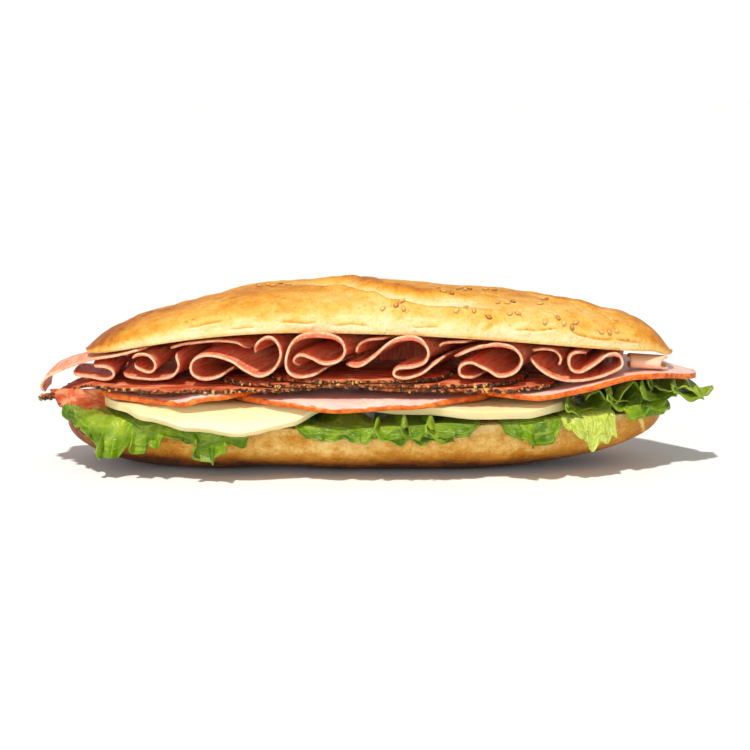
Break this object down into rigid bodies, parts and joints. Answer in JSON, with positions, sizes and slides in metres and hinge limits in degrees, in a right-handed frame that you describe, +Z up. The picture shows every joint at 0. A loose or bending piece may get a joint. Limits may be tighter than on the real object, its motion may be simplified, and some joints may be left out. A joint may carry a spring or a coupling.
{
  "type": "submarine sandwich",
  "caption": "Long seeded roll sandwich filled with frilled lettuce, sliced cheese, smoked ham, pepper-crusted pastrami and ruffled cured ham.",
  "frame": {"origin": "on the table under the middle of the whole sandwich", "axes": "+X along the roll to the right as seen from the front, +Y away from the front, +Z up"},
  "size_m": [0.2818, 0.0986, 0.0768],
  "materials": {
    "crust": "baked golden crust, satin",
    "cheese": "smooth, slightly waxy",
    "smoked_ham": "moist, with an orange rim",
    "pastrami": "moist, with a coarse pepper crust",
    "cured_ham": "moist, pale at the rim",
    "lettuce": "crisp, waxy leaf"
  },
  "bodies": {
    "root": {"bun_bottom": "crust", "bun_top": "crust", "cheese_left": "cheese", "cheese_right": "cheese", "cured_ham_1": "cured_ham", "cured_ham_2": "cured_ham", "cured_ham_3": "cured_ham", "cured_ham_4": "cured_ham", "cured_ham_5": "cured_ham", "cured_ham_6": "cured_ham", "cured_ham_7": "cured_ham", "cured_ham_8": "cured_ham", "cured_ham_9": "cured_ham", "cured_ham_10": "cured_ham", "cured_ham_11": "cured_ham", "cured_ham_12": "cured_ham", "cured_ham_flap": "cured_ham", "cured_ham_roll": "cured_ham", "lettuce_left": "lettuce", "lettuce_middle": "lettuce", "lettuce_right": "lettuce", "lettuce_shred": "lettuce", "lettuce_end": "lettuce", "lettuce_back_left": "lettuce", "lettuce_back_right": "lettuce", "lettuce_folded": "lettuce", "lettuce_tip": "lettuce", "pastrami_left": "pastrami", "pastrami_middle": "pastrami", "pastrami_right": "pastrami", "pastrami_top": "pastrami", "smoked_ham_left": "smoked_ham", "smoked_ham_middle": "smoked_ham", "smoked_ham_right": "smoked_ham"}
  },
  "joints": []
}
